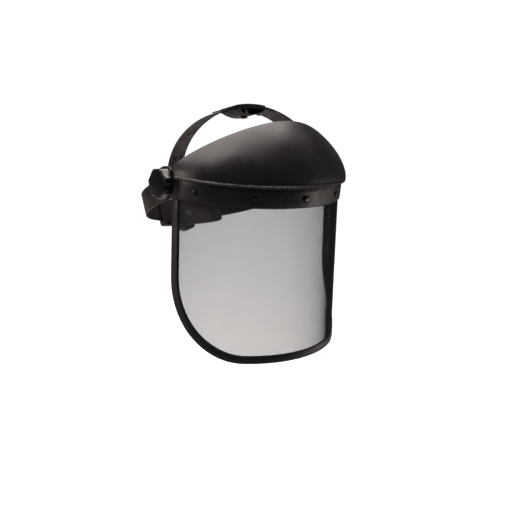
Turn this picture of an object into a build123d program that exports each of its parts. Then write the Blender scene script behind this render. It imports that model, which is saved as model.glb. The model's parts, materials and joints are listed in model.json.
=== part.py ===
from build123d import *
import math
import os

# A head-worn face shield: a domed crown with a wire-mesh window hangs on two friction pivots at the
# sides of a ratchet headgear, and flips up over the head.
# Frame: origin midway between the two pivots, wearer's left +X, back of the head +Y, up +Z (mm).

# --- crown and window: ovals centred on the pivot line -------------------------------------------
window_a = 118.0          # half width of the window's mid surface where it leaves the band
window_b = 89.0           # distance from the pivot line forward to the window there
flare_a = 6.0             # how much wider the window's oval is at its bottom edge
flare_b = 22.0            # how much further forward it stands there
window_arc = 305.0        # flat length of the window, a 12 in screen
window_drop = 167.5       # height of window that shows under the band
corner_r = 84.0           # lower corner radius of the flat window
screen_t = 0.7            # woven screen, over its wires
tuck = 19.0               # window hidden behind the band
band_bottom = -14.0       # underside of the retaining band, from the pivot line
band_h = 22.0
band_t = 1.8
skirt_t = 2.1             # crown wall behind the window
seat_gap = 0.15           # air each side of the screen in its seat
binding_w = 8.0           # edge binding, over its face
binding_t = 1.0           # each leaf of the binding
binding_lip = 1.0         # binding past the screen's edge
lip_out = 4.2             # lip past the band's face
lip_h = 3.0
shell_t = 1.8
dome_in = 1.8             # the dome starts this far inside the lip's edge
dome_h = 70.2             # height the dome would have if it were whole
dome_m = 1.55             # exponent of the dome's upright curve
dome_n = 2.1              # exponent of its plan curve
dome_back = -34.0         # how far forward its top leans
rear_cut_slope = 0.8      # the dome's back edge leans forward this much per mm of height

# --- pivots, from the head outwards -----------------------------------------------------------------
plate_x = 108.9           # inner face of the headgear's side plates
plate_t = 2.6
slip = 0.05               # air each side of a friction washer
washer_r = 14.0
washer_t = 1.0
ear_out = 121.0           # outer face of the crown's ears
ear_r = 18.0
boss_r = 15.0
bolt_r = 3.0
pivot_gap = 0.06          # running clearance round the bolt
bolt_head_r = 8.0
bolt_head_h = 2.3
knob_r = 16.5
knob_h = 10.4
knob_dip = 1.3            # depth of the dips between its lobes
knob_lobes = 7
steel_washer_r = 9.0
steel_washer_t = 0.8
insert_r = 5.0
insert_h = 6.5
bolt_end = 128.8

# --- headgear ---------------------------------------------------------------------------------------
strap_t = 1.3
brow_reach = 64.0         # pivot line to the brow band's face
brow_h = 26.0
brow_tilt = 18.0          # the headgear sits back: brow up, crown strap back, nape down
brow_flat = 12.0          # straight run from the pivots before the band curves
pad_t = 6.0
pad_h = 32.0
pad_half = 78.0
crown_rise = 82.2         # pivot line to the crown strap's lower half, over its outer face
crown_w = 26.5
crown_overlap = 36.0      # each half of the crown strap past the middle
nape_reach = 132.0
nape_flat = 30.0
nape_tilt = 29.0
nape_h = 25.0
nape_overlap = 46.0       # each rack end past the middle of the nape
brow_n, crown_n, nape_n = 2.3, 2.0, 2.2         # exponents of the straps' curves
strap_start = 14.5        # straps stop this far from the pivot line
rivet_rises = (20.0, 26.4)
rivet_r = 1.6
rivet_head_r = 2.8
rivet_head_h = 0.9
tab_t = 1.6               # side plate's tabs over the straps
tab_len = 28.6
tab_w = 18.0
plate_r = 17.0
gap = 0.2                 # air between stacked pieces
lap_gap = 0.35            # between the two halves of an overlapped strap
fit_gap = 0.15            # round a rivet, stud or screw
slide = 0.4               # round what slides
peg_step = 9.0            # holes along the crown strap
spare_hole = 52.0         # small hole in each half, this far from the pivot line
peg_r = 2.2
peg_head_r = 4.0
peg_head_h = 1.6
keeper_half = 22.0        # sleeve round the crown strap's overlap
keeper_t = 0.8
keeper_gap = 0.3          # sideways, round the straps
keeper_drop = 7.5         # its underside bows down this far in the middle

# --- ratchet ----------------------------------------------------------------------------------------
cover_half = 47.0
cover_h = 37.0
cover_t = 2.0
cover_corner = 3.0
backing_t = 1.4
axle_drop = 4.0           # the knob's axle below the nape strap's middle
pinion_teeth = 8
pinion_tip = 5.2
pinion_root = 3.9
rack_pitch = 3.8
rack_clear = 6.3          # half height of the slot between the racks
rack_tooth = 0.9
rack_half = 38.0          # half length of the slot
axle_r = 3.2
dial_r = 20.5
dial_h = 11.0
dial_dip = 1.6
dial_lobes = 12
axle_seat = 8.0           # how far the axle goes into the knob
detent_r = 14.0
detent_t = 1.0
cover_screw_x = 36.0
cover_screw_z = 15.7
screw_r = 1.5
screw_head_r = 2.8
screw_head_h = 1.2

stud_arc = 63.0           # spacing of the window studs round the band
stud_z = -3.5
stud_r = 2.0
stud_head_r = 3.4
stud_head_h = 1.4
clip_r = 4.0
clip_t = 1.0

band_top = band_bottom + band_h
window_bottom = band_bottom - window_drop
screen_top = band_bottom + tuck
dome_z = band_top + lip_h
half_screen = screen_t / 2
skirt_out = half_screen + seat_gap              # crown wall's outer face, inside the window
skirt_in = skirt_out + skirt_t
band_in = half_screen + seat_gap
band_out = band_in + band_t
lip_a, lip_b = window_a + band_out + lip_out, window_b + band_out + lip_out
dome_a, dome_b = lip_a - dome_in, lip_b - dome_in
ear_back = -ear_r - 0.5                          # where the band and the window stop
boss_in = plate_x + plate_t + washer_t           # inner face of the ear's boss
sides = (-1, 1)                                  # wearer's right, wearer's left
os.makedirs("parts", exist_ok=True)


def save(builder, name):
    builder.part.label = name
    export_step(builder.part, f"parts/{name}.step")


# --- the window's surface ---------------------------------------------------------------------------
def window_oval(z):
    """Half width and half depth of the window's mid surface at height z."""
    q = max(band_bottom - z, 0) / window_drop
    return window_a + flare_a * q, window_b + flare_b * q


def on_oval(a, b, length):
    """Angle from the front of an oval after an arc of the given length along it."""
    angle, step = 0.0, 0.002
    while length > 0:
        length -= step * math.hypot(a * math.cos(angle), b * math.sin(angle))
        angle += step
    return angle


def flat_edge(inset):
    """Rear edge and lower corner of the flat window, as (arc from the front, height) pairs."""
    half, low, r = window_arc / 2 - inset, window_bottom + inset, corner_r - inset
    edge = [(half, low + r + 45), (half, low + r + 20)]
    turns = [math.radians(9 * k) for k in range(11)]
    return edge + [(half - r + r * math.cos(t), low + r - r * math.sin(t)) for t in turns]


def side_outline(inset):
    """Side view of the window, with its edge moved in by inset: a face in the YZ plane."""
    edge, top = [], screen_top + 1
    for arc, z in flat_edge(inset):
        a, b = window_oval(z)
        edge.append((-b * math.cos(on_oval(a, b, arc)), z))
    a, b = window_oval(band_bottom)
    rear = -b * math.cos(on_oval(a, b, window_arc / 2 - inset))
    low = edge[-1][1]
    with BuildSketch(Plane.YZ) as outline:
        with BuildLine():
            Line((rear, top), (rear, band_bottom))
            Spline((rear, band_bottom), *edge)
            Polyline(edge[-1], (-flare_b - window_b - 20, low), (-flare_b - window_b - 20, top), (rear, top))
        make_face()
    return outline.sketch


def oval(z, a, b):
    with BuildSketch(Plane.XY.offset(z)) as face:
        Ellipse(a, b)
    return face.sketch


def flared_wall(outwards, inwards, z_top):
    """Wall round the window's surface: straight behind the band, flared below it."""
    low_a, low_b = window_a + flare_a, window_b + flare_b
    with BuildPart() as wall:
        for grow, mode in ((outwards, Mode.ADD), (-inwards, Mode.SUBTRACT)):
            upper = oval(band_bottom, window_a + grow, window_b + grow)
            loft([upper, oval(window_bottom, low_a + grow, low_b + grow)], ruled=True, mode=mode)
            extrude(upper, amount=z_top - band_bottom, mode=mode)
    return wall.part


def stud_planes(offset):
    """Planes on the band at each stud, facing outwards, the given distance from the mid surface."""
    planes = []
    for k in range(-2, 3):
        angle = math.copysign(on_oval(window_a, window_b, abs(k) * stud_arc), k)
        x, y = window_a * math.sin(angle), -window_b * math.cos(angle)
        out = Vector(x / window_a**2, y / window_b**2, 0).normalized()
        planes.append(Plane(origin=Vector(x, y, stud_z) + out * offset, z_dir=out))
    return planes


through = (Align.CENTER, Align.CENTER, Align.CENTER)
standing = (Align.CENTER, Align.CENTER, Align.MIN)
hanging = (Align.CENTER, Align.CENTER, Align.MAX)


# --- the dome: level curves that shrink towards its top ---------------------------------------------
def dome_level(share, skin):
    """Plan curve of the dome where its width has fallen to share, drawn in by skin."""
    a, b = (dome_a - skin) * share, (dome_b - skin) * share
    z = dome_z + (dome_h - skin) * (1 - share**dome_m) ** (1 / dome_m)
    points = []
    for k in range(32):
        t = 2 * math.pi * (k + 0.5) / 32
        s, c = math.sin(t), math.cos(t)
        x = a * math.copysign(abs(s) ** (2 / dome_n), s)
        points.append((x, b * math.copysign(abs(c) ** (2 / dome_n), c) + dome_back * (1 - share)))
    with BuildSketch(Plane.XY.offset(z)) as level:
        with BuildLine():
            Spline(*points, periodic=True)
        make_face()
    return level.sketch


shares = (1.0, 0.985, 0.95, 0.9, 0.83, 0.74, 0.64, 0.53, 0.42, 0.31, 0.22)

with BuildPart() as crown:
    loft([dome_level(s, 0) for s in shares])
    loft([dome_level(s, shell_t) for s in shares], mode=Mode.SUBTRACT)
    # lip under the dome, open inside
    with BuildSketch(Plane.XY.offset(band_top)):
        Ellipse(lip_a, lip_b)
        Ellipse(window_a - skirt_in, window_b - skirt_in, mode=Mode.SUBTRACT)
    extrude(amount=lip_h)
    # skirt behind the window
    with BuildSketch(Plane.XY.offset(band_bottom)):
        Ellipse(window_a - skirt_out, window_b - skirt_out)
        Ellipse(window_a - skirt_in, window_b - skirt_in, mode=Mode.SUBTRACT)
    extrude(amount=band_h)
    # everything stops at the back edge, which leans forward as it rises
    with BuildSketch(Plane.YZ):
        with BuildLine():
            height = dome_h + 1
            Polyline((-lip_b - 1, band_bottom), (0, band_bottom), (0, dome_z),
                     (-rear_cut_slope * height, dome_z + height), (-lip_b - 1, dome_z + height),
                     (-lip_b - 1, band_bottom))
        make_face()
    extrude(amount=lip_a + 1, both=True, mode=Mode.INTERSECT)
    # ears: the wall behind the window thickened out to the band's face, round the pivots
    for side in sides:
        with BuildSketch(Plane.YZ.offset(side * (window_a - skirt_out - 1))):
            Circle(ear_r)
        extrude(amount=side * (ear_out - window_a + skirt_out + 1))
    with BuildSketch(Plane.XY.offset(band_bottom)):
        Ellipse(window_a + band_out, window_b + band_out)
        Ellipse(window_a - skirt_in, window_b - skirt_in, mode=Mode.SUBTRACT)
        with Locations((0, ear_back / 2)):
            Rectangle(2 * lip_a, -ear_back, mode=Mode.INTERSECT)
    extrude(amount=dome_z - band_bottom)
    # bosses inwards, bolt holes, and room for the knobs
    for side in sides:
        with BuildSketch(Plane.YZ.offset(side * boss_in)):
            Circle(boss_r)
        extrude(amount=side * (ear_out - boss_in))
        with BuildSketch(Plane.YZ.offset(side * ear_out)):
            Circle(ear_r + 0.5)
        extrude(amount=side * 10, mode=Mode.SUBTRACT)
        with BuildSketch(Plane.YZ.offset(side * (boss_in - 1))):
            Circle(bolt_r + pivot_gap)
        extrude(amount=side * 20, mode=Mode.SUBTRACT)
    with Locations(*stud_planes(0)):
        Cylinder(stud_r + fit_gap, 12, align=through, mode=Mode.SUBTRACT)
save(crown, "crown_shell")

with BuildPart() as band:
    with BuildSketch(Plane.XY.offset(band_bottom)):
        Ellipse(window_a + band_out, window_b + band_out)
        Ellipse(window_a + band_in, window_b + band_in, mode=Mode.SUBTRACT)
        with Locations((0, ear_back - gap - lip_b)):
            Rectangle(2 * lip_a, 2 * lip_b, mode=Mode.INTERSECT)
    extrude(amount=band_h - gap)
    chamfer(band.edges().filter_by(GeomType.ELLIPSE).group_by(Axis.Z)[0].sort_by(SortBy.LENGTH)[-1], 0.8)
    with Locations(*stud_planes(0)):
        Cylinder(stud_r + fit_gap, 12, align=through, mode=Mode.SUBTRACT)
save(band, "window_band")

with BuildPart() as screen:
    add(flared_wall(half_screen, half_screen, screen_top))
    extrude(side_outline(binding_lip), amount=2 * lip_a, both=True, mode=Mode.INTERSECT)
    # behind the band the screen stops short of the ears
    with Locations((0, ear_back - gap, band_bottom)):
        Box(3 * lip_a, 60, 60, align=(Align.CENTER, Align.MIN, Align.MIN), mode=Mode.SUBTRACT)
    with Locations(*stud_planes(0)):
        Cylinder(stud_r + fit_gap, 12, align=through, mode=Mode.SUBTRACT)
save(screen, "mesh_window")

leaf = half_screen + gap / 4
with BuildPart() as binding:
    add(flared_wall(leaf + binding_t, leaf + binding_t, band_bottom + 1))
    extrude(side_outline(0), amount=2 * lip_a, both=True, mode=Mode.INTERSECT)
    extrude(side_outline(binding_w), amount=2 * lip_a, both=True, mode=Mode.SUBTRACT)
    add(Solid.extrude(side_outline(binding_lip - 0.25).face(), (2 * lip_a, 0, 0))
        .moved(Location((-lip_a, 0, 0))) & flared_wall(leaf, leaf, band_bottom + 1), mode=Mode.SUBTRACT)
    split(bisect_by=Plane.XY.offset(band_bottom - 3 * gap), keep=Keep.BOTTOM)
save(binding, "window_binding")

with BuildPart() as studs:
    with Locations(*stud_planes(band_out)):
        Cylinder(stud_head_r, stud_head_h, align=standing)
    with Locations(*stud_planes(-skirt_in - clip_t - 0.6)):
        Cylinder(stud_r, skirt_in + clip_t + 0.6 + band_out + 0.2, align=standing)
save(studs, "window_studs")

with BuildPart() as clips:
    with Locations(*stud_planes(-skirt_in - clip_t - gap)):
        Cylinder(clip_r, clip_t, align=standing)
        Cylinder(stud_r + 0.02, 2 * clip_t, align=standing, mode=Mode.SUBTRACT)
save(clips, "stud_clips")




# --- headgear: curved strips in planes that hold the pivot line ---------------------------------------
def leaning(forward, lift):
    """Plane holding the pivot line, its y axis lifted by an angle from the front or from the back."""
    y, z = math.cos(math.radians(lift)), math.sin(math.radians(lift))
    y = -y if forward else y
    return Plane(origin=(0, 0, 0), x_dir=(1, 0, 0), z_dir=(0, -z, y))


def grown(shape, outwards):
    half, flat, reach, n = shape
    return half + outwards, flat, reach + outwards, n


def curve(shape, turn):
    """Point of a strip's outer face, from turn 0 at the side to pi/2 at its middle: a superellipse."""
    half, flat, reach, n = shape
    c, s = math.cos(turn), abs(math.sin(turn))
    return half * math.copysign(abs(c) ** (2 / n), c), flat + (reach - flat) * s ** (2 / n)


def turn_at_rise(shape, rise):
    half, flat, reach, n = shape
    return math.asin((max(rise - flat, 0) / (reach - flat)) ** (n / 2))


def turn_at_x(shape, x):
    half, flat, reach, n = shape
    return math.acos(math.copysign((abs(x) / half) ** (n / 2), x))


def strip(plane, side, shape, thick, width, start=None, start_x=0.0, end_rise=None, end_x=0.0):
    """Strip of one side: it starts and ends at a distance from the pivot line, or at a half width."""
    with BuildPart() as piece:
        with BuildSketch(plane):
            with BuildLine():
                ends = []
                for face in (shape, grown(shape, -thick)):
                    if end_rise is not None and end_rise <= face[1]:
                        ends += [(side * face[0], start), (side * face[0], end_rise)]
                        Line(*ends[-2:])
                        continue
                    first = turn_at_x(face, start_x) if start is None else turn_at_rise(face, start)
                    last = turn_at_x(face, end_x) if end_rise is None else turn_at_rise(face, end_rise)
                    turns = [first + (last - first) * k / 14 for k in range(15)]
                    points = [(side * x, y) for x, y in (curve(face, turn) for turn in turns)]
                    ends += [points[0], points[-1]]
                    if start is not None and start < face[1]:
                        ends[-2] = (side * face[0], start)
                        Line(ends[-2], points[0])
                    Spline(*points)
                Line(ends[0], ends[2])
                Line(ends[1], ends[3])
            make_face()
        extrude(amount=width / 2, both=True)
    return piece.part


def face_plane(plane, side, shape, turn, rise=None, height=0.0):
    """Plane on a strip's outer face, facing outwards."""
    (x, y), (ahead_x, ahead_y) = curve(shape, turn), curve(shape, turn + 0.01)
    out = Vector(side, 0, 0)
    if rise is None or rise > shape[1]:
        out = Vector(side * (ahead_y - y), x - ahead_x, 0).normalized()
    at = Vector(side * x, y if rise is None else rise, height)
    return Plane(origin=plane.from_local_coords(at), x_dir=plane.z_dir, z_dir=plane.from_local_coords(out))


strap_a = plate_x - gap / 2
stacked = strap_t + lap_gap                      # rise of a strap half that lies on the other
brow_plane = leaning(True, brow_tilt)
crown_plane = leaning(False, 90 - brow_tilt)
nape_plane = leaning(False, -nape_tilt)
brow_shape = (strap_a, brow_flat, brow_reach, brow_n)
crown_shapes = {side: (strap_a, 0.0, crown_rise + (stacked if side > 0 else 0), crown_n) for side in sides}
nape_shapes = {side: (strap_a, nape_flat, nape_reach + (stacked if side > 0 else 0), nape_n) for side in sides}
straps = {side: ((brow_plane, brow_shape), (crown_plane, crown_shapes[side]), (nape_plane, nape_shapes[side]))
          for side in sides}
rivet_planes = [face_plane(plane, side, shape, turn_at_rise(shape, rise), rise)
                for side in sides for plane, shape in straps[side] for rise in rivet_rises]
axle_plane = Plane(origin=nape_plane.z_dir * -axle_drop, x_dir=(1, 0, 0), z_dir=nape_plane.y_dir)


def rivet_holes():
    with Locations(*rivet_planes):
        Cylinder(rivet_r + fit_gap, 12, align=through, mode=Mode.SUBTRACT)


with BuildPart() as brow:
    add(strip(brow_plane, 1, brow_shape, strap_t, brow_h, start=strap_start))
    mirror(about=Plane.YZ)
    rivet_holes()
save(brow, "brow_band")

with BuildPart() as pad:
    add(strip(brow_plane, 1, grown(brow_shape, -strap_t - slide), pad_t, pad_h, start_x=pad_half))
    mirror(about=Plane.YZ)
save(pad, "sweatband")

for side, hand in zip(sides, ("right", "left")):
    # side plate: a disc on the pivot bolt with a tab over each strap, and a square hole for the bolt
    with BuildPart() as plate:
        for plane, shape in straps[side]:
            tab = grown(shape, plate_x - strap_a + tab_t)
            add(strip(plane, side, tab, tab_t, tab_w, start=bolt_head_r + 1, end_rise=tab_len))
        with BuildSketch(Plane.YZ.offset(side * plate_x)):
            Circle(plate_r)
        extrude(amount=side * plate_t)
        with BuildSketch(Plane.YZ.offset(side * (plate_x - plate_t))):
            Rectangle(2 * (bolt_r + pivot_gap), 2 * (bolt_r + pivot_gap))
        extrude(amount=side * 3 * plate_t, mode=Mode.SUBTRACT)
        rivet_holes()
    save(plate, f"side_plate_{hand}")

    # the left half of the crown strap lies on the right one; holes for the peg run along both
    shape = crown_shapes[side]
    pegs = [face_plane(crown_plane, 1, shape, turn_at_x(shape, peg_step * k)) for k in range(-3, 4)]
    with BuildPart() as top_strap:
        add(strip(crown_plane, side, shape, strap_t, crown_w, start=strap_start, end_x=-crown_overlap))
        with Locations(*pegs):
            Cylinder(peg_r + fit_gap, 6, align=through, mode=Mode.SUBTRACT)
        with Locations(face_plane(crown_plane, side, shape, turn_at_rise(shape, spare_hole))):
            Cylinder(rivet_r, 6, align=through, mode=Mode.SUBTRACT)
        rivet_holes()
    save(top_strap, f"crown_strap_{hand}")

    # the left nape strap lies on the right one; each has a slot with rack teeth along one edge
    with BuildPart() as rear_strap:
        add(strip(nape_plane, side, nape_shapes[side], strap_t, nape_h, start=strap_start, end_x=-nape_overlap))
        with BuildSketch(axle_plane):
            with BuildLine():
                edge, crest = [(-rack_half, rack_clear)], rack_clear - rack_tooth
                for k in range(-9, 9):
                    x = k * rack_pitch
                    edge += [(x, rack_clear), (x + 0.3 * rack_pitch, crest), (x + 0.6 * rack_pitch, crest),
                             (x + 0.9 * rack_pitch, rack_clear)]
                edge += [(rack_half, rack_clear), (rack_half, -rack_clear), (-rack_half, -rack_clear)]
                Polyline(*[(x, side * y) for x, y in edge], close=True)
            make_face()
        extrude(amount=2 * nape_reach, mode=Mode.SUBTRACT)
        rivet_holes()
    save(rear_strap, f"nape_strap_{hand}")

with BuildPart() as rivets:
    with Locations(*[spot.offset(plate_x - strap_a + tab_t + gap / 2) for spot in rivet_planes]):
        Cylinder(rivet_head_r, rivet_head_h, align=standing)
    with Locations(*[spot.offset(-strap_t - gap) for spot in rivet_planes]):
        Cylinder(rivet_r, strap_t + tab_t + 0.5, align=standing)
        Cylinder(rivet_head_r, rivet_head_h, align=hanging)
save(rivets, "strap_rivets")

# keeper: a sleeve round the overlapped halves of the crown strap, with a bowed strip beneath
upper = grown(crown_shapes[1], gap / 2 + keeper_t)
lower = grown(crown_shapes[-1], -strap_t - gap - keeper_t)
sleeve_t = upper[2] - lower[2]
keeper_w = crown_w + 2 * (keeper_gap + keeper_t)
with BuildPart() as keeper:
    add(strip(crown_plane, 1, upper, sleeve_t, keeper_w, start_x=keeper_half))
    add(strip(crown_plane, 1, grown(upper, -keeper_t), sleeve_t - 2 * keeper_t, crown_w + 2 * keeper_gap,
              start_x=keeper_half + 1), mode=Mode.SUBTRACT)
    mirror(about=Plane.YZ)
    edge_y = curve(lower, turn_at_x(lower, keeper_half))[1]
    with BuildSketch(crown_plane):
        with BuildLine():
            ThreePointArc((-keeper_half, edge_y), (0, lower[2] - keeper_drop), (keeper_half, edge_y))
            Line((keeper_half, edge_y), (keeper_half, edge_y + keeper_t))
            ThreePointArc((keeper_half, edge_y + keeper_t), (0, lower[2] - keeper_drop + keeper_t),
                          (-keeper_half, edge_y + keeper_t))
            Line((-keeper_half, edge_y + keeper_t), (-keeper_half, edge_y))
        make_face()
    extrude(amount=crown_w / 2, both=True)
    with Locations(Plane(origin=crown_plane.y_dir * (lower[2] - keeper_drop), z_dir=crown_plane.y_dir)):
        Cylinder(peg_r + fit_gap, keeper_drop + 2 * keeper_t + 0.1, align=standing, mode=Mode.SUBTRACT)
save(keeper, "strap_keeper")

peg_top = crown_shapes[1][2]
with BuildPart() as peg:
    with Locations(Plane(origin=crown_plane.y_dir * peg_top, z_dir=crown_plane.y_dir)):
        Cylinder(peg_r, peg_top - lower[2] + keeper_drop + 0.4, align=hanging)
    with Locations(Plane(origin=crown_plane.y_dir * (lower[2] - keeper_drop - 0.4), z_dir=crown_plane.y_dir)):
        Cylinder(peg_head_r, peg_head_h, align=hanging)
    fillet(peg.edges().group_by(Axis(origin=(0, 0, 0), direction=crown_plane.y_dir))[0], peg_head_h / 2)
save(peg, "strap_peg")


# --- pivots ---------------------------------------------------------------------------------------------
def lobed(plane, radius, depth, lobes):
    """Knob outline: a circle whose radius dips between its lobes."""
    count = 6 * lobes
    points = []
    for k in range(count):
        t = 2 * math.pi * k / count
        r = radius - depth * (0.5 - 0.5 * math.cos(lobes * t))
        points.append((r * math.cos(t), r * math.sin(t)))
    with BuildSketch(plane) as outline:
        with BuildLine():
            Spline(*points, periodic=True)
        make_face()
    return outline.sketch


def disc(side, x, r, thick, mode=Mode.ADD):
    """Disc round the pivot line, its inner face at x."""
    with BuildSketch(Plane.YZ.offset(side * x)) as face:
        Circle(r)
    extrude(face.sketch, amount=side * thick, mode=mode)


knob_x = ear_out + washer_t
for side, hand in zip(sides, ("right", "left")):
    with BuildPart() as bolt:
        disc(side, plate_x - bolt_head_h, bolt_head_r, bolt_head_h)
        fillet(bolt.edges().group_by(Axis.X)[0 if side > 0 else -1], bolt_head_h * 0.8)
        with BuildSketch(Plane.YZ.offset(side * plate_x)):
            Rectangle(2 * bolt_r, 2 * bolt_r)
        extrude(amount=side * plate_t)
        disc(side, plate_x, bolt_r, bolt_end - plate_x)
    save(bolt, f"pivot_bolt_{hand}")

    for name, x, r, thick in (("inner_washer", plate_x + plate_t, washer_r, washer_t),
                              ("outer_washer", ear_out, washer_r, washer_t),
                              ("steel_washer", knob_x, steel_washer_r, steel_washer_t + slip)):
        with BuildPart() as washer:
            disc(side, x + slip, r, thick - 2 * slip)
            disc(side, x - 1, bolt_r + pivot_gap, thick + 2, mode=Mode.SUBTRACT)
        save(washer, f"{name}_{hand}")

    insert_x = knob_x + steel_washer_t
    with BuildPart() as knob:
        extrude(lobed(Plane.YZ.offset(side * knob_x), knob_r, knob_dip, knob_lobes), amount=side * knob_h)
        chamfer(knob.edges().group_by(Axis.X)[-1 if side > 0 else 0], 1.6)
        disc(side, knob_x, steel_washer_r + 0.3, steel_washer_t, mode=Mode.SUBTRACT)
        disc(side, insert_x, insert_r, insert_h, mode=Mode.SUBTRACT)
    save(knob, f"tilt_knob_{hand}")

    with BuildPart() as insert:
        disc(side, insert_x + slip, insert_r, insert_h - slip)
        disc(side, insert_x, bolt_r + pivot_gap, insert_h + 1, mode=Mode.SUBTRACT)
    save(insert, f"knob_insert_{hand}")

# --- ratchet: everything stands on the knob's axle, rearwards from the head -------------------------------
backing_shape = grown(nape_shapes[-1], -strap_t - gap)
cover_shape = grown(nape_shapes[1], gap + cover_t)
backing_y, cover_y = backing_shape[2], cover_shape[2]
detent_y = cover_y + slip
dial_y = detent_y + detent_t + slip
axle_foot = backing_y - backing_t
axle_len = dial_y + axle_seat - axle_foot


def housing_outline():
    with BuildSketch(Plane(origin=(0, 0, 0), x_dir=(1, 0, 0), z_dir=nape_plane.y_dir)) as outline:
        RectangleRounded(2 * cover_half, cover_h, cover_corner)
    return outline.sketch


def on_axle(y, r, thick, mode=Mode.ADD):
    """Disc on the ratchet's axle, its face towards the head at y."""
    with BuildSketch(axle_plane.offset(y)) as face:
        Circle(r)
    extrude(face.sketch, amount=thick, mode=mode)


inner_face = grown(backing_shape, -backing_t)
screw_planes = [face_plane(nape_plane, 1, inner_face, turn_at_x(inner_face, x), height=z)
                for x in (-cover_screw_x, cover_screw_x) for z in (-cover_screw_z, cover_screw_z)]

with BuildPart() as backing:
    add(strip(nape_plane, 1, backing_shape, backing_t, cover_h, start_x=cover_half))
    mirror(about=Plane.YZ)
    extrude(housing_outline(), amount=2 * nape_reach, mode=Mode.INTERSECT)
    on_axle(backing_y - 10, axle_r + fit_gap, 20, mode=Mode.SUBTRACT)
    with Locations(*screw_planes):
        Cylinder(screw_r, 30, align=through, mode=Mode.SUBTRACT)
save(backing, "ratchet_backing")

with BuildPart() as cover:
    deep = 2 * (cover_y - backing_y)
    add(strip(nape_plane, 1, cover_shape, deep, cover_h, start_x=cover_half))
    add(strip(nape_plane, 1, grown(cover_shape, -cover_t), deep, nape_h + 2 * slide, start_x=cover_half + 2),
        mode=Mode.SUBTRACT)
    add(strip(nape_plane, 1, grown(backing_shape, gap / 2), deep, 2 * cover_h, start_x=cover_half + 2),
        mode=Mode.SUBTRACT)
    mirror(about=Plane.YZ)
    extrude(housing_outline(), amount=2 * nape_reach, mode=Mode.INTERSECT)
    on_axle(backing_y, axle_r + fit_gap, 20, mode=Mode.SUBTRACT)
    with Locations(*[spot.offset(-2) for spot in screw_planes]):
        Cylinder(screw_r, 8, align=standing, mode=Mode.SUBTRACT)
save(cover, "ratchet_cover")

with BuildPart() as cover_screws:
    with Locations(*[spot.offset(-0.1) for spot in screw_planes]):
        Cylinder(screw_r, 5.5, align=standing)
        Cylinder(screw_head_r, screw_head_h, align=hanging)
save(cover_screws, "cover_screws")

with BuildPart() as detent:
    on_axle(detent_y, detent_r, detent_t)
    on_axle(detent_y, axle_r + fit_gap, detent_t, mode=Mode.SUBTRACT)
save(detent, "detent_ring")

with BuildPart() as pinion:
    with BuildSketch(axle_plane.offset(backing_y + gap)):
        with BuildLine():
            teeth = []
            for k in range(pinion_teeth):
                for share, r in ((-0.27, pinion_root), (-0.13, pinion_tip), (0.13, pinion_tip), (0.27, pinion_root)):
                    t = 2 * math.pi * (k + share) / pinion_teeth
                    teeth.append((r * math.cos(t), r * math.sin(t)))
            Polyline(*teeth, close=True)
        make_face()
    extrude(amount=2 * strap_t + lap_gap)
    on_axle(axle_foot, axle_r, axle_len)
    on_axle(axle_foot, screw_r, axle_len - 1, mode=Mode.SUBTRACT)
save(pinion, "ratchet_pinion")

with BuildPart() as dial:
    extrude(lobed(axle_plane.offset(dial_y), dial_r, dial_dip, dial_lobes), amount=dial_h)
    chamfer(dial.edges().group_by(Axis(origin=(0, 0, 0), direction=nape_plane.y_dir))[-1], 1.5)
    on_axle(dial_y, axle_r, axle_seat, mode=Mode.SUBTRACT)
save(dial, "ratchet_knob")

with BuildPart() as knob_screw:
    on_axle(axle_foot - screw_head_h - slip, axle_r + 1.0, screw_head_h)
    on_axle(axle_foot - slip, screw_r, axle_len - 1.5)
save(knob_screw, "knob_screw")
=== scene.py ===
import json
import math

import bmesh
import bpy
import numpy as np
from mathutils import Matrix, Vector

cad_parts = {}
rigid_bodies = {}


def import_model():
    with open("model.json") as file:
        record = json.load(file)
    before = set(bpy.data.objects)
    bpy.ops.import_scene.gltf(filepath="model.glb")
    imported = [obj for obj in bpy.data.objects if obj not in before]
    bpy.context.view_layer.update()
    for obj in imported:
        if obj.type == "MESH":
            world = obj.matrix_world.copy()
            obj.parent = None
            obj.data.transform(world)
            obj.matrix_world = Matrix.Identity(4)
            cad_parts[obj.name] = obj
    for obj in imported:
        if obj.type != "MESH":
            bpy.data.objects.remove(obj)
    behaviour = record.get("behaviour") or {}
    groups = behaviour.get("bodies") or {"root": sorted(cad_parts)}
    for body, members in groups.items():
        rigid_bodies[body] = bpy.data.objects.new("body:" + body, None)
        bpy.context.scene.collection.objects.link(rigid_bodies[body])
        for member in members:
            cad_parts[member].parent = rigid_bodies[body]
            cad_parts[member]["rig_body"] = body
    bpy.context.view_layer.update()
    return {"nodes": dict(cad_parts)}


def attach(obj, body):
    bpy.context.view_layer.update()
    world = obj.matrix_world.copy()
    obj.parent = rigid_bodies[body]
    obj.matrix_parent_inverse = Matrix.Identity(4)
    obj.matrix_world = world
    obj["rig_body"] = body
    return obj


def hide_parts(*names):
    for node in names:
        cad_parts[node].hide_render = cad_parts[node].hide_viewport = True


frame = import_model()
print("frame loaded")

# Origin midway between the tilt pivots, wearer's left +X, back of the head +Y, up +Z. Shapes are
# worked out in millimetres and handed to the meshes in metres.
mm = 0.001


def linear(hexColour):
    # sRGB hex to linear light
    parts = [int(hexColour[i:i + 2], 16) / 255 for i in (0, 2, 4)]
    return [c / 12.92 if c <= 0.04045 else ((c + 0.055) / 1.055) ** 2.4 for c in parts] + [1.0]


def addNode(tree, kind, settings=None, inputs=None):
    # one node, its properties and its input values or links
    node = tree.nodes.new(kind)
    for name, value in (settings or {}).items():
        setattr(node, name, value)
    for name, value in (inputs or {}).items():
        if isinstance(value, bpy.types.NodeSocket):
            tree.links.new(value, node.inputs[name])
        else:
            node.inputs[name].default_value = value
    return node


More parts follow.
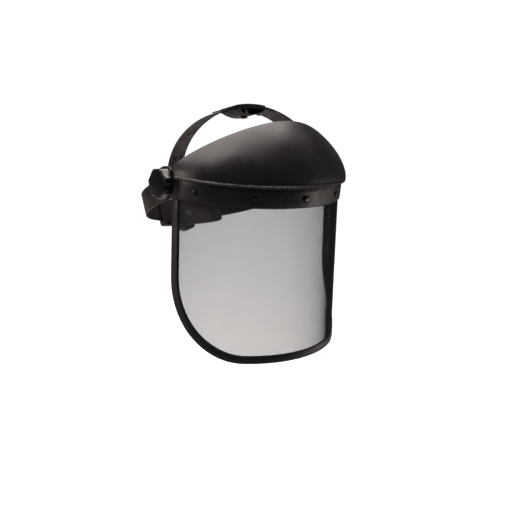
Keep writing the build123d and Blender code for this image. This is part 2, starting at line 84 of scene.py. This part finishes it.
def newMaterial(name, colour, roughness, metallic=0.0, ior=None, coat=0.0, sheen=0.0):
    # the shader with its constant values; a metal is given no IOR and keeps the default
    mat = bpy.data.materials.new(name)
    mat.use_nodes = True
    shader = mat.node_tree.nodes["Principled BSDF"]
    shader.inputs["Base Color"].default_value = linear(colour)
    shader.inputs["Roughness"].default_value = roughness
    shader.inputs["Metallic"].default_value = metallic
    if ior:
        shader.inputs["IOR"].default_value = ior
    shader.inputs["Coat Weight"].default_value = coat
    shader.inputs["Coat Roughness"].default_value = 0.12
    shader.inputs["Sheen Weight"].default_value = sheen
    return mat, mat.node_tree, shader


def moulded(name, colour, worn, roughness, grain, depth, sink=0.0, coat=0.0):
    # injection-moulded plastic: spark-eroded grain of the given size in mm, slow sink marks, and
    # handling marks where the surface is polished or scuffed
    mat, tree, shader = newMaterial(name, colour, roughness, ior=1.49, coat=coat)
    place = addNode(tree, "ShaderNodeTexCoord").outputs["Object"]
    fine = addNode(tree, "ShaderNodeTexNoise", inputs={"Vector": place, "Scale": 1 / (grain * mm),
                                                       "Detail": 3.0, "Roughness": 0.6})
    slow = addNode(tree, "ShaderNodeTexNoise", inputs={"Vector": place, "Scale": 1 / (35 * mm),
                                                       "Detail": 4.0})
    rub = addNode(tree, "ShaderNodeMapRange", inputs={"Value": slow.outputs["Fac"], "From Min": 0.42,
                                                      "From Max": 0.62, "To Min": roughness - 0.05,
                                                      "To Max": roughness + 0.08})
    tree.links.new(rub.outputs["Result"], shader.inputs["Roughness"])
    tint = addNode(tree, "ShaderNodeMix", {"data_type": "RGBA"})
    tree.links.new(slow.outputs["Fac"], tint.inputs["Factor"])
    tint.inputs[6].default_value = linear(colour)
    tint.inputs[7].default_value = linear(worn)
    tree.links.new(tint.outputs[2], shader.inputs["Base Color"])
    bump = addNode(tree, "ShaderNodeBump", inputs={"Strength": depth, "Distance": 0.05 * mm,
                                                   "Height": fine.outputs["Fac"]})
    if sink:
        wave = addNode(tree, "ShaderNodeBump", inputs={"Strength": sink, "Distance": 0.4 * mm,
                                                       "Height": slow.outputs["Fac"],
                                                       "Normal": bump.outputs["Normal"]})
        bump = wave
    tree.links.new(bump.outputs["Normal"], shader.inputs["Normal"])
    return mat


def spun(name, colour, roughness):
    # turned or rolled metal: a fine mottle, 0.35 mm across, in its roughness and its relief
    mat, tree, shader = newMaterial(name, colour, roughness, metallic=1.0)
    place = addNode(tree, "ShaderNodeTexCoord").outputs["Object"]
    fine = addNode(tree, "ShaderNodeTexNoise", inputs={"Vector": place, "Scale": 1 / (0.35 * mm),
                                                       "Detail": 4.0})
    rough = addNode(tree, "ShaderNodeMapRange", inputs={"Value": fine.outputs["Fac"],
                                                        "To Min": roughness - 0.1,
                                                        "To Max": roughness + 0.15})
    tree.links.new(rough.outputs["Result"], shader.inputs["Roughness"])
    bump = addNode(tree, "ShaderNodeBump", inputs={"Strength": 0.15, "Distance": 0.02 * mm,
                                                   "Height": fine.outputs["Fac"]})
    tree.links.new(bump.outputs["Normal"], shader.inputs["Normal"])
    return mat


# satin ABS with a fine spark grain: a broad soft warm-grey highlight on the dome
crownAbs = moulded("crown_satin_abs", "1a1718", "201d1d", 0.36, 0.5, 0.22, sink=0.12)
# the band is a flexible polyethylene strip, darker and duller than the crown
bandPolyethylene = moulded("band_polyethylene", "100e0f", "161314", 0.42, 0.6, 0.2, sink=0.1)
# headgear straps: moulded polyethylene, a soft brownish sheen along their curves
strapPolyethylene = moulded("strap_polyethylene", "171414", "221e1d", 0.40, 0.7, 0.3, sink=0.2)
# knobs: glossy nylon with small hard highlights
knobNylon = moulded("knob_gloss_nylon", "080707", "0e0d0d", 0.2, 0.4, 0.05, sink=0.1, coat=0.3)
# studs and rivets: small moulded nylon heads, black, each with one dull glint
studNylon = moulded("stud_nylon", "060606", "0c0c0c", 0.3, 0.4, 0.1)
# edge binding: folded vinyl, nearly black with a soft sheen
bindingVinyl = moulded("binding_vinyl", "070607", "0d0c0d", 0.46, 0.8, 0.35, sink=0.2)
# unpigmented nylon: milky off-white clips, detent ring and pinion
naturalNylon = moulded("natural_nylon", "d8d4c6", "cfc9b8", 0.42, 0.5, 0.15)
# pressed vulcanised fibre: dry red-brown washers with a coarse tooth
vulcanFibre = moulded("vulcan_fibre", "4a2a20", "3b221a", 0.6, 0.3, 0.6)
# bright zinc plate on turned steel: cool grey, slightly cloudy reflections
zincSteel = spun("zinc_plated_steel", "b9bbbe", 0.32)
# turned brass: warm, with soft reflections
insertBrass = spun("turned_brass", "c9a35a", 0.3)
# the cover's small screws are blackened, so only their rims glint
blackScrew = spun("black_zinc_steel", "2c2b2d", 0.38)


def wireSteel():
    # black enamel baked on drawn steel wire: nearly black, with a dull glint along each wire
    mat, tree, shader = newMaterial("black_enamel_wire", "1a191a", 0.5, ior=1.5)
    place = addNode(tree, "ShaderNodeTexCoord").outputs["Object"]
    patch = addNode(tree, "ShaderNodeTexNoise", inputs={"Vector": place, "Scale": 1 / (9 * mm),
                                                        "Detail": 5.0})
    tone = addNode(tree, "ShaderNodeMix", {"data_type": "RGBA"})
    tree.links.new(patch.outputs["Fac"], tone.inputs["Factor"])
    tone.inputs[6].default_value = linear("121212")
    tone.inputs[7].default_value = linear("242324")
    tree.links.new(tone.outputs[2], shader.inputs["Base Color"])
    return mat


def terryFoam():
    # brushed cotton terry over foam: short looped pile, charcoal, with a soft sheen, and painted shade that
    # darkens the gaps between the loops
    mat, tree, shader = newMaterial("terry_cotton", "2e2e31", 0.95, sheen=0.5)
    place = addNode(tree, "ShaderNodeTexCoord").outputs["Object"]
    loops = addNode(tree, "ShaderNodeTexVoronoi", inputs={"Vector": place, "Scale": 1 / (1.1 * mm)})
    # painted shade: the colour runs from lighter on the loop tops to darker in the hollows between loops,
    # following the distance that also sinks the bump
    tone = addNode(tree, "ShaderNodeMix", {"data_type": "RGBA"})
    tree.links.new(loops.outputs["Distance"], tone.inputs["Factor"])
    tone.inputs[6].default_value = linear("3a3a3e")
    tone.inputs[7].default_value = linear("1c1c1e")
    tree.links.new(tone.outputs[2], shader.inputs["Base Color"])
    bump = addNode(tree, "ShaderNodeBump", inputs={"Strength": 0.8, "Distance": 0.5 * mm,
                                                   "Height": loops.outputs["Distance"]})
    bump.invert = True
    tree.links.new(bump.outputs["Normal"], shader.inputs["Normal"])
    return mat


enamelWire, terryCotton = wireSteel(), terryFoam()
print("materials made")

nodeFinish = {
    "crown_shell": crownAbs, "window_band": bandPolyethylene, "mesh_window": enamelWire,
    "window_binding": bindingVinyl, "window_studs": studNylon, "stud_clips": naturalNylon,
    "brow_band": strapPolyethylene, "sweatband": terryCotton, "side_plate_right": strapPolyethylene,
    "side_plate_left": strapPolyethylene, "crown_strap_right": strapPolyethylene,
    "crown_strap_left": strapPolyethylene, "strap_keeper": strapPolyethylene, "strap_peg": knobNylon,
    "nape_strap_right": strapPolyethylene, "nape_strap_left": strapPolyethylene, "strap_rivets": studNylon,
    "ratchet_backing": strapPolyethylene, "ratchet_cover": strapPolyethylene, "cover_screws": blackScrew,
    "detent_ring": naturalNylon, "pivot_bolt_right": zincSteel, "pivot_bolt_left": zincSteel,
    "inner_washer_right": vulcanFibre, "inner_washer_left": vulcanFibre, "outer_washer_right": vulcanFibre,
    "outer_washer_left": vulcanFibre, "steel_washer_right": zincSteel, "steel_washer_left": zincSteel,
    "tilt_knob_right": knobNylon, "tilt_knob_left": knobNylon, "knob_insert_right": insertBrass,
    "knob_insert_left": insertBrass, "ratchet_knob": knobNylon, "ratchet_pinion": naturalNylon,
    "knob_screw": zincSteel,
}


def dress(obj, material):
    obj.data.materials.clear()
    obj.data.materials.append(material)


for nodeName, node in frame["nodes"].items():
    dress(node, nodeFinish[nodeName])


def pieceFrom(name, points, faces, material, body, slotName, *replaced, smooth=True):
    # points in mm as one array; faces as lists of corners, pointing outwards
    mesh = bpy.data.meshes.new(name)
    mesh.from_pydata((np.asarray(points) * mm).tolist(), [], [list(f) for f in faces])
    mesh.validate()
    obj = bpy.data.objects.new(name, mesh)
    bpy.context.scene.collection.objects.link(obj)
    dress(obj, material)
    if smooth:
        mesh.shade_smooth()
    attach(obj, body)
    if replaced:
        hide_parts(*replaced)
    return obj


def camel(nodeName):
    # tilt_knob_left becomes tiltKnobLeft
    first, *rest = nodeName.split("_")
    return first + "".join(word.capitalize() for word in rest)


edging = {"weld": 0.002, "flat": 0.4, "crease": 35.0, "segments": 2}   # mm, degrees, degrees, count


def roundedCopy(nodeName, edge):
    # a welded copy of a CAD node with its flats joined and its corners rounded by edge mm; at 0 it is
    # only welded, for a thin double-curved wall whose facets must stay as they are
    source = frame["nodes"][nodeName]
    mesh = source.data.copy()
    work = bmesh.new()
    work.from_mesh(mesh)
    bmesh.ops.remove_doubles(work, verts=work.verts, dist=edging["weld"] * mm)
    if edge:
        bmesh.ops.dissolve_degenerate(work, edges=work.edges, dist=edging["weld"] * mm)
        bmesh.ops.dissolve_limit(work, angle_limit=math.radians(edging["flat"]), verts=work.verts,
                                 edges=work.edges)
    work.to_mesh(mesh)
    work.free()
    mesh.shade_smooth()
    obj = bpy.data.objects.new(camel(nodeName), mesh)
    bpy.context.scene.collection.objects.link(obj)
    dress(obj, nodeFinish[nodeName])
    if edge:
        bevel = obj.modifiers.new("edge", "BEVEL")
        bevel.width, bevel.segments, bevel.limit_method = edge * mm, edging["segments"], "ANGLE"
        bevel.angle_limit = math.radians(edging["crease"])
        bevel.harden_normals, bevel.use_clamp_overlap = True, True
    else:
        mesh.set_sharp_from_angle(angle=math.radians(edging["crease"]))
    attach(obj, source["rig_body"])
    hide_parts(nodeName)
    return obj


# edge radius of each copied node, in mm
edgeRounds = {
    "crown_shell": 0, "window_band": 0.35, "window_binding": 0.35, "window_studs": 0.35, "brow_band": 0.3,
    "side_plate_right": 0.35, "side_plate_left": 0.35, "crown_strap_right": 0.3, "crown_strap_left": 0.3,
    "strap_keeper": 0.2, "nape_strap_right": 0.3, "nape_strap_left": 0.3, "strap_rivets": 0.3,
    "ratchet_backing": 0.3, "ratchet_cover": 0.6, "tilt_knob_right": 0.6, "tilt_knob_left": 0.6,
    "ratchet_knob": 0.6,
}
for nodeName, edge in edgeRounds.items():
    roundedCopy(nodeName, edge)
print("edges rounded")

screen = {
    "halfWidth": 118.0, "depth": 89.0,      # window's oval at the band, in mm as all the rest
    "flareWidth": 6.0, "flareDepth": 22.0,  # what the oval gains by its bottom edge
    "bandBottom": -14.0, "drop": 167.5, "top": 5.0, "hem": 0.6,
    "arc": 305.0, "corner": 84.0, "inset": 1.2,
    "pitch": 0.85, "wire": 0.335,           # 30 wires to the inch, drawn a little thick
    "squareToRound": 1.11,
    "crossing": 0.18,                       # wires pass this far each side of the middle surface
    "earMargin": 0.08,                      # oval angle kept free at the pivots, in radians
}


def ovalAt(z):
    # half width and half depth of the window's surface at height z, in mm
    share = np.maximum(screen["bandBottom"] - z, 0) / screen["drop"]
    return screen["halfWidth"] + screen["flareWidth"] * share, screen["depth"] + screen["flareDepth"] * share


def arcTable(z, count=721):
    # arc length from the front against the oval's angle, at height z
    angle = np.linspace(0, math.pi / 2, count)
    a, b = ovalAt(z)
    step = np.hypot(a * np.cos(angle), b * np.sin(angle))
    length = np.concatenate([[0], np.cumsum((step[1:] + step[:-1]) / 2 * np.diff(angle))])
    return angle, length


def edgeAngle(z):
    # the oval's angle at the window's side edge, which rounds in at the lower corners
    half, radius = screen["arc"] / 2 - screen["inset"], screen["corner"] - screen["inset"]
    low = screen["bandBottom"] - screen["drop"] + screen["inset"]
    fall = low + radius - z
    arc = half if fall <= 0 else half - radius + math.sqrt(max(radius**2 - fall**2, 0))
    angle, length = arcTable(z)
    return float(np.interp(arc, length, angle))


def closedFaces(rings, around):
    # quads between neighbouring rings of a closed tube, and one face over each end
    k, s = np.meshgrid(np.arange(rings - 1), np.arange(around), indexing="ij")
    a, b = k * around + s, k * around + (s + 1) % around
    quads = np.stack([a, b, b + around, a + around], -1).reshape(-1, 4).tolist()
    return quads + [list(range(around))[::-1], list(range((rings - 1) * around, rings * around))]


def tube(line, radius, sides=4):
    # a round wire along a line of points: rings square to the line, joined by quads, with closed
    # ends; the four-sided ring is drawn wider so that it covers what a round one would
    radius = radius * screen["squareToRound"]
    line = np.asarray(line, float)
    ahead = np.gradient(line, axis=0)
    ahead /= np.linalg.norm(ahead, axis=1)[:, None]
    ref = np.array([0, 0, 1.0]) if abs(ahead[0][2]) < 0.7 else np.array([1.0, 0, 0])
    first = np.cross(ahead, ref)
    first /= np.linalg.norm(first, axis=1)[:, None]
    second = np.cross(ahead, first)
    turn = 2 * np.pi * np.arange(sides) / sides
    ring = (np.cos(turn)[None, :, None] * first[:, None, :]
            + np.sin(turn)[None, :, None] * second[:, None, :])
    points = (line[:, None, :] + radius * ring).reshape(-1, 3)
    return points, closedFaces(len(line), sides)


def joined(tubes):
    # many tubes as one list of points and faces
    points, faces, base = [], [], 0
    for p, f in tubes:
        points.append(p)
        faces += [tuple(i + base for i in face) for face in f]
        base += len(p)
    return np.concatenate(points), faces


def screenPoint(angle, z, lift):
    # the oval at height z, grown by lift: (a sin, -b cos, z)
    a, b = ovalAt(z)
    return np.stack([(a + lift) * np.sin(angle), -(b + lift) * np.cos(angle), z + 0 * angle], -1)


def weftWires():
    # wires across: the oval at each height, out to the window's edge, one pitch apart
    tubes, z = [], screen["top"] - 1
    floor = screen["bandBottom"] - screen["drop"] + screen["inset"] + screen["hem"]
    while z > floor:
        edge = edgeAngle(z)
        if z >= screen["bandBottom"]:
            edge = edgeAngle(screen["bandBottom"]) - screen["earMargin"]
        count = 46 if edge > 1.0 else 30
        path = screenPoint(np.linspace(-edge, edge, count), np.full(count, z), screen["crossing"])
        tubes.append(tube(path, screen["wire"] / 2))
        z -= screen["pitch"]
    return joined(tubes)


def warpWires():
    # generators of the cone: straight behind the band, straight again below it
    angle, length = arcTable(screen["bandBottom"] - screen["drop"] / 2)
    half = int(screen["arc"] / 2 / screen["pitch"])
    zs = np.linspace(screen["bandBottom"] - screen["drop"] + screen["inset"], screen["bandBottom"], 260)
    edges = np.array([edgeAngle(z) for z in zs])
    tubes = []
    for k in range(-half, half + 1):
        at = float(np.interp(abs(k) * screen["pitch"], length, angle))
        inside = np.nonzero(edges > at + 0.002)[0]
        if not len(inside):
            continue
        low = zs[inside[0]]
        heights = [low, screen["bandBottom"]]
        if at < edges[-1] - screen["earMargin"]:
            heights.append(screen["top"])
        path = screenPoint(np.full(len(heights), math.copysign(at, k)), np.array(heights),
                           -screen["crossing"])
        tubes.append(tube(path, screen["wire"] / 2))
    return joined(tubes)


for wireName, wires in (("screenWarp", warpWires), ("screenWeft", weftWires)):
    pieceFrom(wireName, *wires(), enamelWire, "crown", "screen_wire", "mesh_window", smooth=False)
print("screen woven")

sweat = {
    "half": 106.8, "flat": 12.0, "reach": 62.0, "power": 2.3,  # oval of the band's inner face, in mm
    "lean": 18.0, "across": 77.6,                               # degrees; half length along x
    "thick": 5.8, "high": 31.4, "hem": 1.3, "hemWidth": 2.2, "air": 0.15,
    "channels": 9, "draw": 0.9, "seam": 1.6, "nose": 9.0,
    "rings": 241, "around": 40,
}


def sweatPad():
    # the brow band's superellipse in its leaning plane carries a closed cross-section: flat against the
    # band, crowned towards the head, thin at its two hems, drawn in along the sewn channels, and
    # shrinking to a rounded nose at each end
    along, around = sweat["rings"], sweat["around"]
    x = sweat["across"] * np.sin(np.linspace(-math.pi / 2, math.pi / 2, along))
    turn = np.arccos(np.clip(np.abs(x) / sweat["half"], 0, 1) ** (sweat["power"] / 2))
    reach = sweat["flat"] + (sweat["reach"] - sweat["flat"]) * np.sin(turn) ** (2 / sweat["power"])
    line = np.stack([x, reach], -1)
    ahead = np.gradient(line, axis=0)
    ahead /= np.linalg.norm(ahead, axis=1)[:, None]
    inwards = np.stack([ahead[:, 1], -ahead[:, 0]], -1)
    inwards *= -np.sign(inwards[:, 1:2])
    length = np.concatenate([[0], np.cumsum(np.linalg.norm(np.diff(line, axis=0), axis=1))])
    share = length / length[-1]
    toEnd = np.minimum(length, length[-1] - length)
    nose = np.sqrt(np.clip(1 - (1 - np.clip(toEnd / sweat["nose"], 0, 1)) ** 2, 0.0, 1))
    spans = sweat["channels"] + 1
    channel = np.abs(np.mod(share * spans + 0.5, 1) - 0.5) / spans * length[-1]
    drawn = sweat["draw"] * np.exp(-(channel / sweat["seam"]) ** 2) * (toEnd > 6)
    phase = 2 * math.pi * np.arange(around) / around
    across = np.sign(np.cos(phase)) * np.abs(np.cos(phase)) ** 0.55
    crown = np.clip(np.sin(phase), 0, None) ** 0.75
    high = sweat["high"] / 2 * (0.35 + 0.65 * nose)
    height = across[None, :] * high[:, None]
    hem = 1 - np.exp(-(sweat["high"] / 2 * (1 - np.abs(across))) / sweat["hemWidth"])
    rise = sweat["hem"] * (np.sin(phase) > 0) * (0.3 + 0.7 * hem)
    swell = (sweat["thick"] - sweat["hem"] - sweat["air"] - drawn) * (0.25 + 0.75 * nose)
    depth = sweat["air"] + rise[None, :] + swell[:, None] * crown[None, :]
    flatPoints = line[:, None, :] + inwards[:, None, :] * depth[:, :, None]
    c, s = math.cos(math.radians(sweat["lean"])), math.sin(math.radians(sweat["lean"]))
    px, py = flatPoints[..., 0], flatPoints[..., 1]
    points = np.stack([px, -py * c + height * s, py * s + height * c], -1).reshape(-1, 3)
    return points, closedFaces(along, around)


pad = pieceFrom("sweatPad", *sweatPad(), terryCotton, "headgear", "sweat_foam", "sweatband")
outward = bmesh.new()
outward.from_mesh(pad.data)
bmesh.ops.recalc_face_normals(outward, faces=outward.faces)
outward.to_mesh(pad.data)
outward.free()
print("sweatband padded")

stage = {"floorZ": -0.55, "size": 60.0, "paper": "b4b2b0"}   # metres


def makeStage():
    bpy.ops.mesh.primitive_plane_add(size=stage["size"], location=(0, 0, 0))
    floor = bpy.context.object
    floor.name = "floor"
    floor.data.transform(Matrix.Translation((0, 0, stage["floorZ"])))
    # paper that reads as white while it throws little light up onto the black plastic
    mat, tree, shader = newMaterial("pale_paper", stage["paper"], 0.9)
    shader.inputs["Emission Color"].default_value = linear("ffffff")
    seen = addNode(tree, "ShaderNodeLightPath").outputs["Is Camera Ray"]
    tree.links.new(seen, shader.inputs["Emission Strength"])
    dress(floor, mat)


def makeWorld():
    # white behind the object, and a faint even light on it
    world = bpy.data.worlds.new("studio")
    bpy.context.scene.world = world
    world.use_nodes = True
    tree = world.node_tree
    back = tree.nodes["Background"]
    path = addNode(tree, "ShaderNodeLightPath")
    level = addNode(tree, "ShaderNodeMapRange", inputs={"Value": path.outputs["Is Camera Ray"],
                                                        "To Min": 0.06, "To Max": 1.05})
    tree.links.new(level.outputs["Result"], back.inputs["Strength"])
    back.inputs["Color"].default_value = (1, 1, 1, 1)


# place and aim in metres, size in metres, watts, colour
lamps = {
    "overhead": ((0.05, 0.3, 1.2), (0, -0.02, 0.02), (2.0, 1.5), 42, "fff4f0"),
    "side": ((-1.5, 0.5, 0.3), (0, 0, 0), (0.6, 0.9), 8, "fff2ea"),
    "right": ((1.45, -0.75, -0.35), (0, 0, -0.03), (0.5, 0.5), 3, "fff4ee"),
}


def areaLight(name, place, aim, size, watts, colour):
    # a softbox at place, turned towards aim
    data = bpy.data.lights.new(name, "AREA")
    data.shape, data.size, data.size_y = "RECTANGLE", size[0], size[1]
    data.energy, data.color = watts, linear(colour)[:3]
    lamp = bpy.data.objects.new(name, data)
    bpy.context.scene.collection.objects.link(lamp)
    lamp.location = place
    lamp.rotation_euler = (Vector(aim) - Vector(place)).to_track_quat("-Z", "Y").to_euler()


view = {
    "azimuth": 43.173, "elevation": 15.037, "roll": 6.209,   # degrees
    "aim": (-3.12, -20.07, -82.94), "distance": 912.0,        # mm
    "lens": 55.71, "sensor": 36.0,                            # mm
}


def makeCamera():
    # on a sphere round its aim, then rolled about its own line of sight
    az, el, roll = (math.radians(view[k]) for k in ("azimuth", "elevation", "roll"))
    back = Vector((-math.sin(az) * math.cos(el), -math.cos(az) * math.cos(el), math.sin(el)))
    right = Vector((math.cos(az), -math.sin(az), 0))
    up = back.cross(right)
    x = math.cos(roll) * right + math.sin(roll) * up
    y = math.cos(roll) * up - math.sin(roll) * right
    data = bpy.data.cameras.new("camera")
    data.lens, data.sensor_width, data.sensor_fit = view["lens"], view["sensor"], "HORIZONTAL"
    camera = bpy.data.objects.new("camera", data)
    bpy.context.scene.collection.objects.link(camera)
    turn = Matrix((x, y, back)).transposed().to_4x4()
    camera.matrix_world = Matrix.Translation((Vector(view["aim"]) + back * view["distance"]) * mm) @ turn
    bpy.context.scene.camera = camera


makeStage()
makeWorld()
for lampName, (place, aim, size, watts, colour) in lamps.items():
    areaLight(lampName, place, aim, size, watts, colour)
makeCamera()
bpy.context.scene.view_settings.view_transform = "Standard"
print("stage set")
